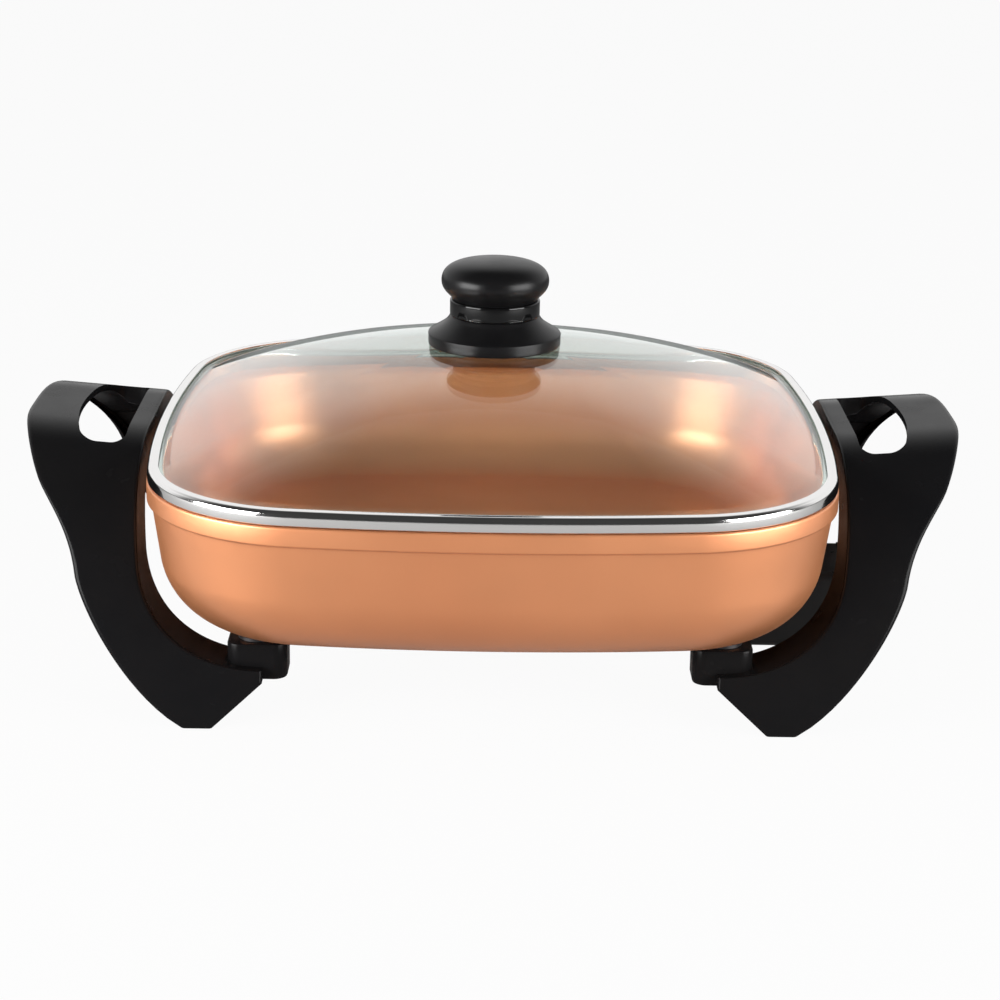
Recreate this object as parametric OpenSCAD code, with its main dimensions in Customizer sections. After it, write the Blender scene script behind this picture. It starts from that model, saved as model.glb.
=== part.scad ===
// Electric skillet: a square cast pan on two moulded arch handles, under a lift-off glass lid.
// Millimetres, Z up. The table is z = 0, the origin is under the middle of the pan,
// and the handles stand at -X and +X. The heat control plugs in under the +X side.

/* [Pan] */
// Half width over the rim, at the middle of a side
pan_half = 157; // [150:0.5:164]
// Radius of the rim's corners
corner_r = 75; // [71:1:79]
// Radius of the gentle bow along each side
side_r = 800; // [700:10:1000]
// Height of the rim's top above the table
rim_z = 104; // [102:0.5:110]
// Height of the rim flange outside
rim_h = 9; // [6:0.5:12]
// Width of the rim's flat top
rim_w = 6.5; // [6:0.5:8]
// Step from the flange in to the wall
rim_step = 2; // [1:0.5:3]
// Outside depth, rim to flat bottom
pan_depth = 64.5; // [62:0.5:66]
// Slope of the wall above the fillet, in degrees
wall_draft = 8; // [5:0.5:10]
// Outside radius between wall and bottom
fillet_r = 35; // [32:1:38]
// Thickness of the side wall
wall_t = 3.5; // [3:0.25:4.5]
// Thickness of the base
base_t = 5; // [4.5:0.25:6]

/* [Heating element] */
// Half width of the element's loop, to the middle of the sheath
loop_half = 70; // [64:1:76]
// Bend radius of the loop's corners
loop_bend = 22; // [18:1:28]
// Bend radius where the two legs turn out
leg_bend = 12; // [10:0.5:14]
// Distance between the two legs
leg_pitch = 24; // [22:0.5:25]
// Radius of the sheath
sheath_r = 3.3; // [3:0.1:3.8]
// Depth of the sheath's axis below the pan's bottom
loop_drop = 7; // [6.5:0.25:8]
// Depth of the handle bosses below the pan's bottom
boss_drop = 3; // [2:0.5:4]
// Width of the cast ridge that holds the loop
ridge_w = 13; // [11:0.5:15]
// How far the sheath's ends reach out past the guard's seat
sheath_out = 18; // [16:0.5:22]
// Radius of the terminal pins
pin_r = 2.4; // [2:0.1:2.6]
// Length of the bare pins
pin_len = 28; // [24:1:32]
// Length of the ceramic insulators
bead_len = 4; // [3:0.5:6]

/* [Probe well] */
// Inside radius of the sleeve that takes the sensing rod
probe_r = 3.3; // [3:0.05:3.6]
// Wall of the sleeve
sleeve_t = 0.9; // [0.7:0.1:1.2]
// Length of the sleeve
sleeve_len = 90; // [70:1:95]
// Radius of the cast boss round the sleeve
well_boss_r = 7.5; // [7:0.25:8]

/* [Terminal guard] */
// How far in from the rim the guard's seat lies
guard_seat_in = 45; // [43:0.5:47]
// Length of the guard
guard_len = 60; // [54:1:64]
// Width of the guard
guard_w = 52; // [50:0.5:56]
// Height of the guard
guard_h = 33; // [30:0.5:36]
// Wall of the guard
guard_t = 2.5; // [2:0.25:3]
// Corner radius of the guard
guard_r = 5; // [4:0.5:7]
// Height of the guard's top above the table, where it is under the pan
guard_top = 39; // [38:0.25:39.25]
// How far the hood at the open end rises above that
guard_hood_h = 4; // [2:0.5:5]
// Length of the hood
guard_hood_len = 34; // [28:1:35]

/* [Handles] */
// How far the grips reach out past the pan's rim
grip_out = 60; // [57:0.5:65]
// How far the grip's top rises above the rim
grip_rise = 11; // [8:0.5:14]
// Radius of the grip's bow, seen from above
grip_bow_r = 186; // [170:2:230]
// Gap from the pan's rim to the handle
rim_gap = 1.8; // [1:0.1:3]
// How far in from the pan's front and rear the feet stand
foot_y_in = 38; // [32:1:44]
// Depth of the feet, front to back
foot_deep = 24; // [20:1:28]
// How far in from the rim the foot's outer edge stands on the table
foot_x_in = 21.3; // [18:0.1:24]
// Width of the foot on the table
foot_w = 14.3; // [12:0.5:18]
// Wall of the moulding
handle_t = 3; // [2.5:0.25:3.5]
// Height of the lip round the grip and the finger opening
lip_h = 9.5; // [8:0.5:12]
// Width of the finger opening
finger_w = 25; // [23:0.5:26]
// Length of the finger opening
finger_len = 98; // [84:1:100]
// Width of the ring between the finger opening and the pan
ring_w = 11; // [9:0.25:12]
// Corner radius of the finger opening
finger_r = 11.5; // [9:0.5:11.5]
// How far in from the rim the posts' middles are, along X
post_x_in = 54.25; // [52:0.25:56]
// How far in from the rim the posts' middles are, along Y
post_y_in = 62; // [60:0.5:64]
// Size of a post along X
post_w = 26.5; // [24:0.5:28]
// Size of a post along Y
post_deep = 24; // [22:0.5:26]
// Corner radius of a post
post_r = 6; // [4:0.5:8]
// Height of a post's lower end above the table
post_z = 18.5; // [17:0.5:20]

/* [Fasteners] */
// Shank radius of the handle screws
screw_r = 2.1; // [1.8:0.1:2.4]
// Head radius of the handle screws
screw_head_r = 4.2; // [3.8:0.1:4.8]
// Head height of the screws
screw_head_h = 2.8; // [2.2:0.1:3.4]
// Radius of the steel heat spacers
spacer_r = 9; // [8:0.5:10]
// Thickness of the heat spacers
spacer_t = 1.5; // [1:0.25:2]
// Shank radius of the guard screws
guard_screw_r = 1.6; // [1.4:0.1:1.8]
// Length of thread in the guard's boss
guard_thread = 10; // [8:0.5:12]

/* [Lid] */
// How far the band lies in from the rim's edge
band_inset = 0.4; // [0.3:0.1:1.5]
// Height of the band
band_h = 6.5; // [6.25:0.25:8]
// Width of the band's lips
band_lip = 5; // [4:0.25:6]
// Sheet thickness of the band
band_t = 0.6; // [0.4:0.05:0.6]
// Thickness of the gasket between band and glass
gasket_t = 0.6; // [0.5:0.05:0.65]
// Gap from the resting band to the rim
seat_gap = 0.3; // [0.2:0.05:0.4]
// Thickness of the glass
glass_t = 4; // [3.5:0.1:4.2]
// Rise of the dome over its edge
dome_rise = 38; // [34:0.5:42]
// How flat the crown is: 2 is round, more is flatter
dome_power = 2.3; // [2:0.05:2.6]
// Radius of the hole in the glass
glass_hole_r = 5.5; // [5:0.1:6]

/* [Knob] */
// Radius of the skirt that stands on the glass
skirt_r = 31; // [28:0.1:33]
// Height of the skirt and its flare
skirt_h = 13.2; // [12:0.1:14.5]
// Height of the skirt's straight edge
skirt_edge_h = 4.5; // [3.5:0.1:5]
// Radius of the glossy collar
collar_r = 21; // [20:0.1:22]
// Height of the collar
collar_h = 6.5; // [5:0.1:8]
// Wall of the collar
collar_t = 1.7; // [1.4:0.1:2]
// Largest radius of the cap
cap_r = 25.1; // [24:0.1:27]
// Height of the cap
cap_h = 20.9; // [18:0.1:24]
// Radius of the knob's screw
knob_screw_r = 2.4; // [2:0.1:2.5]
// Radius of the washer under the glass
washer_r = 9; // [8:0.5:11]
// Thickness of the washer under the glass
washer_t = 1.2; // [1:0.1:1.6]
// Flange thickness of the bush in the glass
bush_flange_t = 0.8; // [0.6:0.1:1]

/* [Hidden] */

$fn = 64;
eps = 0.01;
slip = 0.03; // radial room between a piece and the hole it is pressed or screwed into
seam = 0.01; // the side pieces of a sweep are this much thinner than its corner pieces
seam_lap = 0.15; // and the corner pieces reach this far over them, so no two surfaces coincide

// The rounded square is made of four corner arcs and four long side arcs that meet tangentially.
// Every offset of it keeps the same arc centres, so one wall profile serves corners and sides.
side_shift = side_r - pan_half;
arc_step = side_r - corner_r;
corner_c = (sqrt(2 * arc_step * arc_step - side_shift * side_shift) - side_shift) / 2;
side_angle = atan2(corner_c, corner_c + side_shift);

bottom_z = rim_z - pan_depth;
floor_z = bottom_z + base_t;
fillet_z = bottom_z + fillet_r;
draft_run = (rim_z - rim_h - fillet_z + fillet_r * sin(wall_draft)) / cos(wall_draft);
fillet_in = rim_step + draft_run * sin(wall_draft) + fillet_r * cos(wall_draft);

loop_z = bottom_z - loop_drop;
leg_y = leg_pitch / 2;
guard_seat_x = pan_half - guard_seat_in;
sheath_end = guard_seat_x + sheath_out;
guard_boss_x = guard_seat_x - 16;
guard_boss_w = guard_w - 2;
guard_screw_y = (leg_y + sheath_r + guard_w / 2 - guard_t) / 2;
guard_boss_z = loop_z - 5.5;
well_z = loop_z;
sleeve_out = guard_seat_x + guard_t + 0.5;
sleeve_r = probe_r + sleeve_t;
pin_stem_r = 1.5;
pin_neck_x = sheath_end + bead_len;

grip_x = pan_half + grip_out;
grip_z = rim_z + grip_rise;
foot_y = pan_half - foot_y_in;
foot_out_x = pan_half - foot_x_in;
post_x = pan_half - post_x_in;
post_y = pan_half - post_y_in;
ring_x = pan_half + rim_gap;
finger_x = ring_x + ring_w + finger_w / 2;
boss_z = bottom_z - boss_drop;
spacer_z = boss_z - spacer_t;
head_z = spacer_z - 10.5;
screw_top = floor_z - 2;

band_z = rim_z + seat_gap;
band_out = corner_r - band_inset;
glass_edge_out = band_out - band_t - gasket_t - slip;
glass_edge_z = band_z + band_t + gasket_t;
glass_top_z = glass_edge_z + glass_t + dome_rise;
crown_z = glass_top_z - glass_t;

// The dome's rings run from a circle at the crown to the rounded square at its edge. Its height
// falls as a power of the distance and is flat beyond dome_edge, where the band holds it.
dome_edge = 0.965;
dome_round_r = 1.06 * (pan_half - corner_r + glass_edge_out);
skirt_foot_r = skirt_r - 3;
skirt_z = glass_top_z - dome_rise * pow(skirt_foot_r / (dome_edge * dome_round_r), dome_power) + 0.3;
collar_z = skirt_z + skirt_h;
cap_z = collar_z + collar_h;
bush_top = glass_top_z + bush_flange_t;
washer_top = crown_z - bush_flange_t - 0.05; // the glass falls away by this under the flange
knob_head_z = washer_top - washer_t;

// ---- helpers ----

// Points of a cubic curve with end points p[0], p[3] and handles p[1], p[2]
function curve(p, n) = [
    for (i = [0 : n])
        let (t = i / n, s = 1 - t)
        s * s * s * p[0] + 3 * s * s * t * p[1] + 3 * s * t * t * p[2] + t * t * t * p[3]
];

// The outline pts, counter-clockwise, moved inwards by d at every edge
function inset(pts, d) = [
    for (i = [0 : len(pts) - 1])
        let (
            n = len(pts),
            a = pts[i] - pts[(i + n - 1) % n],
            b = pts[(i + 1) % n] - pts[i],
            na = [-a[1], a[0]] / norm(a),
            nb = [-b[1], b[0]] / norm(b)
        )
        pts[i] + (na + nb) * d / (1 + na * nb)
];

// A rectangle with round corners, centred
module round_rect(w, h, r) {
    square([w - 2 * r, h], center = true);
    square([w, h - 2 * r], center = true);
    for (x = [-1, 1], y = [-1, 1])
        translate([x * (w / 2 - r), y * (h / 2 - r)]) circle(r);
}

// Sweeps a closed profile round the rounded square, its points counter-clockwise. A point's x is
// its distance from a corner's centre, so corner_r is the rim's outer edge, and y is its height.
module round_square_sweep(profile) {
    start = side_angle - atan(seam_lap / corner_r);
    for (k = [0 : 3]) rotate(90 * k) {
        translate([corner_c, corner_c, 0]) rotate(start)
            rotate_extrude(angle = 90 - 2 * start, $fn = 180) polygon(profile);
        translate([-side_shift, 0, 0]) rotate(-side_angle)
            rotate_extrude(angle = 2 * side_angle, $fn = 360)
                translate([arc_step, 0]) polygon(inset(profile, seam));
    }
}

// The middle of the rounded square, inside the sweep, between two heights
module round_square_core(z0, z1, over) {
    intersection_for (k = [0 : 3])
        rotate(90 * k) translate([-side_shift, 0, z0])
            cylinder(r = arc_step + over, h = z1 - z0, $fn = 360);
}

// ---- pan ----

// A point on the fillet: r is its radius and a its angle below the horizontal
function fillet_point(r, a) = [corner_r - fillet_in + r * cos(a), fillet_z - r * sin(a)];

fillet_steps = 10;
wall_r = fillet_r - wall_t;
floor_angle = asin((fillet_z - floor_z) / wall_r);

outer_profile = concat(
    [[0, rim_z], [0, bottom_z]],
    [for (i = [fillet_steps : -1 : 0])
        fillet_point(fillet_r, wall_draft + (90 - wall_draft) * i / fillet_steps)],
    [
        [corner_r - rim_step, rim_z - rim_h],
        [corner_r, rim_z - rim_h + 0.6],
        [corner_r, rim_z - 1],
        [corner_r - 1, rim_z]
    ]
);

// The cooking space, open at the top
wall_top = fillet_point(wall_r, wall_draft);
inner_profile = concat(
    [[0, rim_z + 1], [0, floor_z]],
    [for (i = [fillet_steps : -1 : 0])
        fillet_point(wall_r, wall_draft + (floor_angle - wall_draft) * i / fillet_steps)],
    [
        [wall_top[0] + (rim_z - rim_h - wall_top[1]) * tan(wall_draft), rim_z - rim_h],
        [corner_r - rim_w, rim_z - rim_h + 6],
        [corner_r - rim_w, rim_z + 1]
    ]
);

// Carries a section along the element's loop and its two legs, out to x_end
module loop_run(x_end) {
    straight = loop_half - loop_bend;
    for (k = [0 : 3]) rotate(90 * k)
        translate([straight, straight, 0]) rotate_extrude(angle = 90) translate([loop_bend, 0]) children();
    for (k = [1 : 3]) rotate(90 * k)
        translate([loop_half, straight, 0]) rotate([90, 0, 0]) linear_extrude(2 * straight) children();
    for (s = [0, 1]) mirror([0, s, 0]) {
        translate([loop_half, straight, 0]) rotate([90, 0, 0])
            linear_extrude(straight - leg_y - leg_bend) children();
        translate([loop_half + leg_bend, leg_y + leg_bend, 0]) rotate(180)
            rotate_extrude(angle = 90) translate([leg_bend, 0]) children();
        translate([loop_half + leg_bend, leg_y, 0]) rotate([90, 0, 90])
            linear_extrude(x_end - loop_half - leg_bend) children();
    }
}

// A rod along +X
module rod(x0, x1, y, z, r) {
    translate([x0, y, z]) rotate([0, 90, 0]) cylinder(r = r, h = x1 - x0);
}

module at_posts(side) {
    for (y = [-1, 1]) translate([side * post_x, y * post_y, 0]) children();
}

module pan() {
    ridge_h = floor_z - 1.5 - loop_z;
    color([0.80, 0.53, 0.38]) difference() {
        union() {
            round_square_sweep(outer_profile);
            round_square_core(bottom_z + 2 * seam, rim_z - 1, 4);
            translate([0, 0, loop_z]) loop_run(guard_seat_x)
                translate([-ridge_w / 2, 0]) square([ridge_w, ridge_h]);
            translate([guard_boss_x, -guard_boss_w / 2, guard_boss_z])
                cube([guard_seat_x - guard_boss_x, guard_boss_w, floor_z - 2 - guard_boss_z]);
            rod(sleeve_out - sleeve_len - 6, guard_seat_x, 0, well_z, well_boss_r);
            translate([sleeve_out - sleeve_len - 6, -4, well_z])
                cube([sleeve_len, 8, bottom_z + 1 - well_z]);
            for (side = [-1, 1]) at_posts(side)
                translate([0, 0, boss_z]) cylinder(r = spacer_r, h = floor_z + 1 - boss_z);
        }
        round_square_sweep(inner_profile);
        round_square_core(floor_z + 2 * seam, rim_z + 2, 4);
        translate([0, 0, loop_z]) loop_run(guard_seat_x + 1) circle(sheath_r + slip);
        rod(sleeve_out - sleeve_len, guard_seat_x + 1, 0, well_z, sleeve_r + slip);
        for (y = [-1, 1])
            rod(guard_seat_x - guard_thread, guard_seat_x + 1, y * guard_screw_y, well_z,
                guard_screw_r + slip);
        for (side = [-1, 1]) at_posts(side)
            translate([0, 0, boss_z - 1]) cylinder(r = screw_r + slip, h = screw_top + 0.5 - boss_z + 1);
    }
}

// ---- heating element, terminals and probe well ----

module heating_element() {
    color([0.45, 0.44, 0.42]) difference() {
        translate([0, 0, loop_z]) loop_run(sheath_end) circle(sheath_r);
        for (y = [-1, 1])
            rod(sheath_end - 6, sheath_end + 1, y * leg_y, loop_z, pin_stem_r + slip);
    }
}

module terminal_pin(y) {
    tip = 1.2;
    x_end = pin_neck_x + pin_len;
    color([0.78, 0.76, 0.70]) {
        rod(sheath_end - 6, pin_neck_x + eps, y, loop_z, pin_stem_r);
        rod(pin_neck_x, x_end - tip, y, loop_z, pin_r);
        translate([x_end - tip, y, loop_z]) rotate([0, 90, 0])
            cylinder(r1 = pin_r, r2 = pin_r - tip / 2, h = tip);
    }
}

module insulator(y) {
    color([0.93, 0.92, 0.88]) difference() {
        rod(sheath_end, pin_neck_x, y, loop_z, sheath_r);
        rod(sheath_end - 1, pin_neck_x + 1, y, loop_z, pin_stem_r + slip);
    }
}

module probe_sleeve() {
    color([0.75, 0.75, 0.76]) difference() {
        rod(sleeve_out - sleeve_len, sleeve_out, 0, well_z, sleeve_r);
        rod(sleeve_out - sleeve_len + 1, sleeve_out + 1, 0, well_z, probe_r);
    }
}

// ---- terminal guard ----

// The guard's cross-section, wider by grow all round and higher by lift at the top
module guard_section(grow, lift) {
    translate([0, lift / 2])
        round_rect(guard_w + 2 * grow, guard_h + lift + 2 * grow, guard_r + grow);
}

// A box open at the +X end, whose inner wall is screwed to the pan's boss. Clear of the pan, its
// top steps up into a hood.
module terminal_guard() {
    mid_z = guard_top - guard_h / 2;
    hood_x = guard_len - guard_hood_len;
    color([0.10, 0.10, 0.10]) difference() {
        translate([guard_seat_x, 0, mid_z]) rotate([90, 0, 90]) difference() {
            union() {
                linear_extrude(guard_len) guard_section(0, 0);
                translate([0, 0, hood_x]) linear_extrude(guard_hood_len) guard_section(0, guard_hood_h);
                translate([0, 0, guard_len - 3]) linear_extrude(3) guard_section(0.6, guard_hood_h);
            }
            translate([0, 0, guard_t]) linear_extrude(guard_len) guard_section(-guard_t, 0);
            translate([0, 0, hood_x + guard_t]) linear_extrude(guard_len)
                guard_section(-guard_t, guard_hood_h);
        }
        for (y = [-1, 1]) {
            rod(guard_seat_x - 1, guard_seat_x + guard_t + 1, y * leg_y, loop_z, sheath_r + 0.3);
            rod(guard_seat_x - 1, guard_seat_x + guard_t + 1, y * guard_screw_y, well_z,
                guard_screw_r + slip);
        }
        rod(guard_seat_x - 1, guard_seat_x + guard_t + 1, 0, well_z, sleeve_r + slip);
    }
}

// A round-headed screw along -X, its head resting at x
module guard_screws() {
    color([0.62, 0.62, 0.63]) for (y = [-1, 1]) {
        x = guard_seat_x + guard_t;
        rod(x - guard_t - guard_thread + 0.5, x + eps, y * guard_screw_y, well_z, guard_screw_r);
        translate([x, y * guard_screw_y, well_z]) rotate([0, 90, 0]) difference() {
            cylinder(r1 = 2 * guard_screw_r, r2 = 1.5 * guard_screw_r, h = 1.4);
            for (a = [0, 90]) rotate(a) translate([-guard_screw_r, -0.4, 0.8])
                cube([2 * guard_screw_r, 0.8, 1]);
        }
    }
}

// ---- handles ----

curve_steps = 12;
foot_in_x = foot_out_x - foot_w;
waist = [foot_out_x + 48, 0.54 * grip_z];
arm_x = post_x - 2.75;
arm_top = post_z + 6;
hip = [ring_x - 3.3, rim_z - 38]; // where the wall beside the pan starts to sweep in under it

// The handle seen from the front: splayed foot, waist, grip, and the sweep under the pan
front_outline = concat(
    [[arm_x, post_z + 0.5], [foot_in_x, 0]],
    curve([[foot_out_x, 0], [foot_out_x + 22.3, 12], waist - [5.5, 13], waist], curve_steps),
    curve([waist, waist + [6.5, 43], [grip_x + 33, grip_z + 3], [grip_x - 20, grip_z + 2]], 2 * curve_steps),
    curve([[ring_x, grip_z + 2], [ring_x, rim_z - 9], hip + [1.5, 12], hip], curve_steps),
    curve([hip, hip - [4.5, 28], [arm_x + 27, arm_top], [arm_x, arm_top]], curve_steps)
);

// Half of the arch seen from the side, from the foot up to the crown
arch_out = curve(
    [[foot_y, 0], [foot_y - 13, 0.47 * grip_z], [foot_y - 34, grip_z], [foot_y - 94, grip_z]],
    2 * curve_steps
);
arch_in = curve(
    [
        [foot_y - foot_deep, 0],
        [foot_y - foot_deep - 15, 0.45 * grip_z],
        [foot_y - foot_deep - 38, grip_z - lip_h],
        [foot_y - foot_deep - 85, grip_z - lip_h]
    ],
    curve_steps
);

// A half arch and its mirror image, as one closed outline
function full_arch(half) = concat(
    half, [for (i = [len(half) - 1 : -1 : 0]) [-half[i][0], half[i][1]]]
);

// Neighbouring points that coincide would spoil the inset, so one of each pair is dropped
function tidy(pts) = [
    for (i = [0 : len(pts) - 1]) if (norm(pts[i] - pts[(i + 1) % len(pts)]) > 0.01) pts[i]
];

module front_prism(pts) {
    reach = foot_y + 10;
    rotate([90, 0, 0]) translate([0, 0, -reach]) linear_extrude(2 * reach) polygon(pts);
}

module arch_prism(pts) {
    rotate([90, 0, 90]) linear_extrude(grip_x + 10) polygon(pts);
}

// The arch as a solid, pulled in by t all round
module arch_body(t) {
    intersection() {
        front_prism(inset(tidy(front_outline), t));
        arch_prism(inset(tidy(full_arch(arch_out)), t));
        translate([grip_x - grip_bow_r, 0, -1]) cylinder(r = grip_bow_r - t, h = grip_z + 10, $fn = 240);
    }
}

module finger_prism(grow) {
    translate([finger_x, 0, grip_z - lip_h]) linear_extrude(40)
        round_rect(finger_w + 2 * grow, finger_len + 2 * grow, finger_r + grow);
}

// The right handle: an arch-shaped channel, open inside, with the posts that carry the pan
module handle_moulding() {
    difference() {
        union() {
            difference() {
                arch_body(0);
                arch_body(handle_t);
                arch_prism(concat(full_arch(arch_in), [for (s = [-1, 1]) [s * (foot_y - foot_deep), -1]]));
            }
            intersection() {
                arch_body(0);
                finger_prism(handle_t);
            }
            for (y = [-1, 1]) translate([post_x, y * post_y, post_z])
                linear_extrude(spacer_z - post_z) round_rect(post_w, post_deep, post_r);
        }
        translate([0, 0, -30]) finger_prism(0);
        at_posts(1) {
            translate([0, 0, post_z - 1])
                cylinder(r = screw_head_r + 0.6, h = head_z + screw_head_h - post_z + 1);
            translate([0, 0, post_z]) cylinder(r = screw_r + 0.2, h = 40);
        }
    }
}

module right_handle() {
    color([0.09, 0.09, 0.09]) handle_moulding();
}

module left_handle() {
    color([0.09, 0.09, 0.09]) mirror([1, 0, 0]) handle_moulding();
}

module heat_spacers(side) {
    color([0.72, 0.72, 0.72]) at_posts(side) translate([0, 0, spacer_z]) difference() {
        cylinder(r = spacer_r, h = spacer_t);
        translate([0, 0, -1]) cylinder(r = screw_r + 0.2, h = spacer_t + 2);
    }
}

module handle_screws(side) {
    color([0.62, 0.62, 0.63]) at_posts(side) difference() {
        union() {
            translate([0, 0, head_z]) cylinder(r = screw_head_r, h = screw_head_h);
            translate([0, 0, head_z]) cylinder(r = screw_r, h = screw_top - head_z);
        }
        for (a = [0, 90]) rotate(a) translate([-2.2, -0.5, head_z - 1]) cube([4.4, 1, 2.4]);
    }
}

// ---- lid ----

band_outline = [
    [band_out - band_lip, band_z],
    [band_out - 1, band_z],
    [band_out, band_z + 1],
    [band_out, band_z + band_h - 1.6],
    [band_out - 0.5, band_z + band_h - 0.5],
    [band_out - 1.6, band_z + band_h],
    [band_out - band_lip, band_z + band_h]
];

// The outline closed into a channel of sheet, open inwards
function channel(outside, inside) = concat(
    outside,
    [[outside[6][0], inside[6][1]]],
    [for (i = [5 : -1 : 1]) inside[i]],
    [[outside[0][0], inside[0][1]]]
);

module lid_band() {
    color([0.82, 0.82, 0.83]) round_square_sweep(channel(band_outline, inset(band_outline, band_t)));
}

// Lines the channel and holds the edge of the glass
module lid_gasket() {
    outside = inset(band_outline, band_t + slip);
    x_glass = glass_edge_out + slip;
    z_glass = [glass_edge_z - slip, glass_edge_z + glass_t + slip];
    color([0.55, 0.55, 0.53]) round_square_sweep(concat(
        outside, [for (p = [[0, 1], [1, 1], [1, 0], [0, 0]]) [p[0] ? x_glass : outside[0][0], z_glass[p[1]]]]
    ));
}

// Rim points of the rounded square pulled in to out_r at its corners, one list all the way round
rim_steps = 6;
function corner_point(k, i, out_r) =
    let (a = side_angle + (90 - 2 * side_angle) * i / rim_steps)
    turn([corner_c + out_r * cos(a), corner_c + out_r * sin(a)], k);
function side_point(k, i, out_r) =
    let (a = -side_angle + 2 * side_angle * i / rim_steps, r = arc_step + out_r)
    turn([r * cos(a) - side_shift, r * sin(a)], k);
function turn(p, k) = [p[0] * cos(90 * k) - p[1] * sin(90 * k), p[0] * sin(90 * k) + p[1] * cos(90 * k)];
function rim_points(out_r) = [
    for (k = [0 : 3]) each concat(
        [for (i = [0 : rim_steps - 1]) side_point(k, i, out_r)],
        [for (i = [0 : rim_steps - 1]) corner_point(k, i, out_r)]
    )
];

// Rings of the dome run from round near the crown to the rounded square at the edge
dome_steps = 14;
glass_rim = rim_points(glass_edge_out);
rim_count = len(glass_rim);
function ring_t(i) = i == dome_steps + 1 ? 1 : dome_edge * i / dome_steps;
function dome_fall(t) = t > dome_edge ? 1 : pow(t / dome_edge, dome_power);
function dome_point(i, j, z0) =
    let (
        t = ring_t(i),
        rim = glass_rim[j],
        blend = pow(t, 1.5),
        p = t * ((1 - blend) * dome_round_r * rim / norm(rim) + blend * rim)
    )
    [p[0], p[1], z0 + dome_rise * (1 - dome_fall(t))];

module lid_glass() {
    rings = dome_steps + 1;
    shell = rim_count * rings;
    top_z = glass_edge_z + glass_t;
    points = concat(
        [for (i = [1 : rings], j = [0 : rim_count - 1]) dome_point(i, j, top_z)],
        [for (i = [1 : rings], j = [0 : rim_count - 1]) dome_point(i, j, glass_edge_z)],
        [[0, 0, top_z + dome_rise], [0, 0, glass_edge_z + dome_rise]]
    );
    function at(i, j) = i * rim_count + (j % rim_count);
    faces = concat(
        [for (i = [0 : rings - 2], j = [0 : rim_count - 1]) each
            [[at(i, j), at(i + 1, j + 1), at(i + 1, j)], [at(i, j), at(i, j + 1), at(i + 1, j + 1)]]],
        [for (i = [0 : rings - 2], j = [0 : rim_count - 1]) each
            [[shell + at(i, j), shell + at(i + 1, j), shell + at(i + 1, j + 1)],
             [shell + at(i, j), shell + at(i + 1, j + 1), shell + at(i, j + 1)]]],
        [for (j = [0 : rim_count - 1]) [2 * shell, at(0, j + 1), at(0, j)]],
        [for (j = [0 : rim_count - 1]) [2 * shell + 1, shell + at(0, j), shell + at(0, j + 1)]],
        [for (j = [0 : rim_count - 1]) each
            [[at(rings - 1, j), at(rings - 1, j + 1), shell + at(rings - 1, j + 1)],
             [at(rings - 1, j), shell + at(rings - 1, j + 1), shell + at(rings - 1, j)]]]
    );
    color([0.80, 0.90, 0.88, 0.4]) difference() {
        polyhedron(points, faces, convexity = 4);
        translate([0, 0, crown_z - 5]) cylinder(r = glass_hole_r, h = glass_t + 10);
    }
}

module glass_bush() {
    color([0.2, 0.2, 0.2]) difference() {
        union() {
            translate([0, 0, washer_top]) cylinder(r = glass_hole_r + 2.5, h = bush_flange_t);
            translate([0, 0, washer_top]) cylinder(r = glass_hole_r - slip, h = bush_top - washer_top);
            translate([0, 0, glass_top_z]) cylinder(r = glass_hole_r + 2.5, h = bush_flange_t);
        }
        translate([0, 0, washer_top - 1]) cylinder(r = knob_screw_r + slip, h = 20);
    }
}

// ---- knob ----

module knob_base() {
    flare_z = skirt_z + skirt_edge_h;
    boss_r = glass_hole_r + 3;
    spigot_r = collar_r - collar_t - slip;
    flare = [
        [skirt_r - 1, flare_z + 1],
        [skirt_r - 5, flare_z + 3],
        [collar_r + 1.5, collar_z - 3],
        [collar_r, collar_z]
    ];
    color([0.10, 0.10, 0.10]) rotate_extrude() difference() {
        polygon(concat(
            [[0, bush_top], [boss_r, bush_top], [boss_r, skirt_z + 4], [skirt_r - 5, skirt_z + 2.5]],
            [[skirt_foot_r, skirt_z], [skirt_r - 0.6, skirt_z], [skirt_r, skirt_z + 0.6]],
            [[skirt_r, flare_z]],
            curve(flare, 8),
            [[spigot_r, collar_z], [spigot_r, cap_z], [0, cap_z]]
        ));
        translate([0, bush_top - 1]) square([knob_screw_r + slip, 40]);
    }
}

module knob_collar() {
    r = 0.6;
    color([0.05, 0.05, 0.05]) translate([0, 0, collar_z]) rotate_extrude() polygon([
        [collar_r - collar_t, 0], [collar_r - r, 0], [collar_r, r],
        [collar_r, collar_h - r], [collar_r - r, collar_h], [collar_r - collar_t, collar_h]
    ]);
}

module knob_cap() {
    neck_r = collar_r - 0.8;
    wide_z = cap_z + 0.53 * cap_h;
    top_z = cap_z + cap_h;
    hole_r = 4;
    color([0.10, 0.10, 0.10]) rotate_extrude() difference() {
        polygon(concat(
            [[0, cap_z], [neck_r, cap_z]],
            curve([[neck_r, cap_z + 1], [neck_r + 1.5, cap_z + 3.5], [cap_r, wide_z - 4.5], [cap_r, wide_z]], 8),
            curve([[cap_r, wide_z], [cap_r, wide_z + 0.33 * cap_h], [cap_r - 7, top_z], [0, top_z]], 12)
        ));
        translate([0, cap_z - 1]) square([hole_r + slip, 12]);
    }
}

module knob_insert() {
    color([0.80, 0.66, 0.32]) translate([0, 0, cap_z]) difference() {
        cylinder(r = 4, h = 10.5);
        translate([0, 0, -1]) cylinder(r = knob_screw_r + slip, h = 13);
    }
}

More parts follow.
